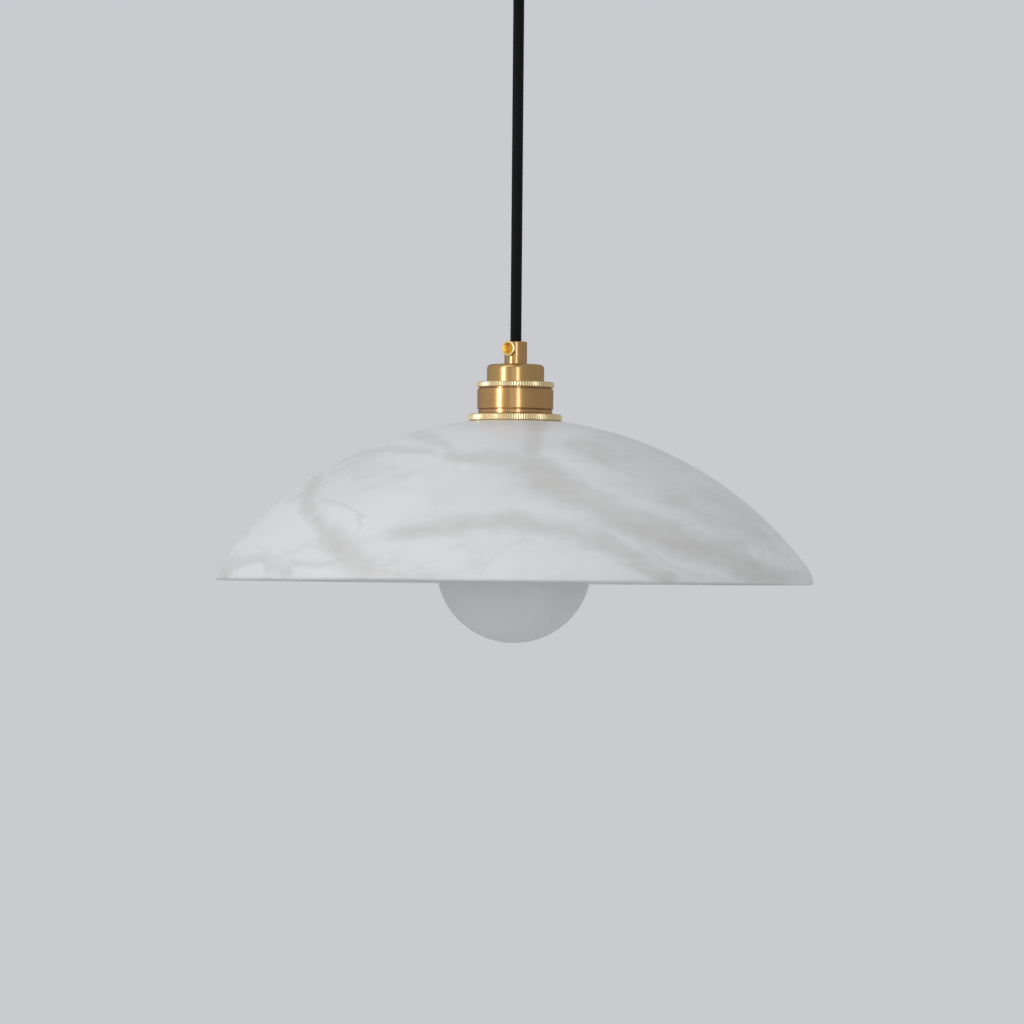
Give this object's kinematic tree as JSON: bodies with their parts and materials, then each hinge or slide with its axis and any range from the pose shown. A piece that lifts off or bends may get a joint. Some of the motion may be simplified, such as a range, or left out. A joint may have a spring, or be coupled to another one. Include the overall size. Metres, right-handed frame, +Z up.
{
  "type": "pendant light",
  "caption": "Alabaster bowl pendant light on a braided flex, with a brass lampholder, knurled shade rings, a screw-in globe bulb and a brass ceiling rose.",
  "frame": {"origin": "middle of the bracket's top face, on the ceiling", "axes": "+Z up into the ceiling, with the flex hanging along -Z; +X along the bracket"},
  "size_m": [0.3048, 0.3048, 0.3874],
  "materials": {
    "alabaster": "honed",
    "satin_brass": "satin",
    "polished_brass": "polished",
    "contact_brass": "bright",
    "zinc_steel": "zinc plated",
    "black_braid": "woven",
    "porcelain": "glazed",
    "white_nylon": "moulded",
    "clear_silicone": "soft",
    "opal_glass": "satin opal",
    "clear_glass": "clear",
    "black_glass": "fused",
    "cap_metal": "bright",
    "board_green": "printed board",
    "filament_yellow": "phosphor",
    "core_brown": "insulation",
    "core_blue": "insulation",
    "core_green": "insulation"
  },
  "bodies": {
    "ceiling_rose": {"rose_bracket": "zinc_steel", "rose_cup": "satin_brass", "rose_side_screws": "polished_brass", "rose_cord_grip": "satin_brass", "rose_grip_screw": "polished_brass", "rose_grip_washer": "zinc_steel", "rose_grip_nut": "zinc_steel", "terminal_block": "white_nylon", "terminal_clamps": "contact_brass", "rose_terminal_screws": "zinc_steel", "terminal_block_screws": "zinc_steel", "earth_post": "contact_brass", "rose_core_live": "core_brown", "rose_core_neutral": "core_blue", "rose_core_earth": "core_green", "cord_anchor": "black_braid"},
    "cord_link": {"cord_bend": "black_braid"},
    "cord": {"cord_drop": "black_braid"},
    "lamp": {"lamp_cord_grip": "satin_brass", "lamp_grip_screw": "polished_brass", "lamp_grip_nut": "zinc_steel", "earth_tag": "contact_brass", "holder_cap": "satin_brass", "cap_ring": "satin_brass", "holder_body": "satin_brass", "socket_insert": "porcelain", "insert_ring": "satin_brass", "screw_shell": "contact_brass", "neutral_plate": "contact_brass", "centre_contact": "contact_brass", "live_terminal": "contact_brass", "neutral_terminal": "contact_brass", "lamp_terminal_screws": "zinc_steel", "lamp_core_live": "core_brown", "lamp_core_neutral": "core_blue", "lamp_core_earth": "core_green", "shade": "alabaster", "shade_ring_upper": "satin_brass", "shade_washer": "clear_silicone", "shade_ring_lower": "satin_brass"},
    "bulb_tip": {"bulb_tip_contact": "contact_brass"},
    "bulb": {"bulb_globe": "opal_glass", "bulb_cap_shell": "cap_metal", "bulb_insulator": "black_glass", "bulb_driver": "board_green", "bulb_stem": "clear_glass", "filament_supports": "zinc_steel", "led_filaments": "filament_yellow"}
  },
  "joints": [
    {"name": "swing_fore_aft", "type": "hinge", "parent": "ceiling_rose", "child": "cord_link", "pos_m": [0, 0, -0.0437], "axis": [1, 0, 0], "range_deg": [-20, 20]},
    {"name": "swing_sideways", "type": "hinge", "parent": "cord_link", "child": "cord", "pos_m": [0, 0, -0.0577], "axis": [0, 1, 0], "range_deg": [-20, 20]},
    {"name": "lamp_turn", "type": "hinge", "parent": "cord", "child": "lamp", "pos_m": [0, 0, -0.2337], "axis": [0, 0, 1], "range_deg": [-90, 90]},
    {"name": "bulb_travel", "type": "slide", "parent": "lamp", "child": "bulb_tip", "axis": [0, 0, -1], "range_m": [0, 0.01452]},
    {"name": "bulb_unscrew", "type": "hinge", "parent": "bulb_tip", "child": "bulb", "pos_m": [0, 0, -0.2673], "axis": [0, 0, -1], "range_deg": [0, 1440]}
  ],
  "couplings": [
    {"joint": "bulb_travel", "follows": "bulb_unscrew", "m_per_rad": 0.00057757}
  ]
}
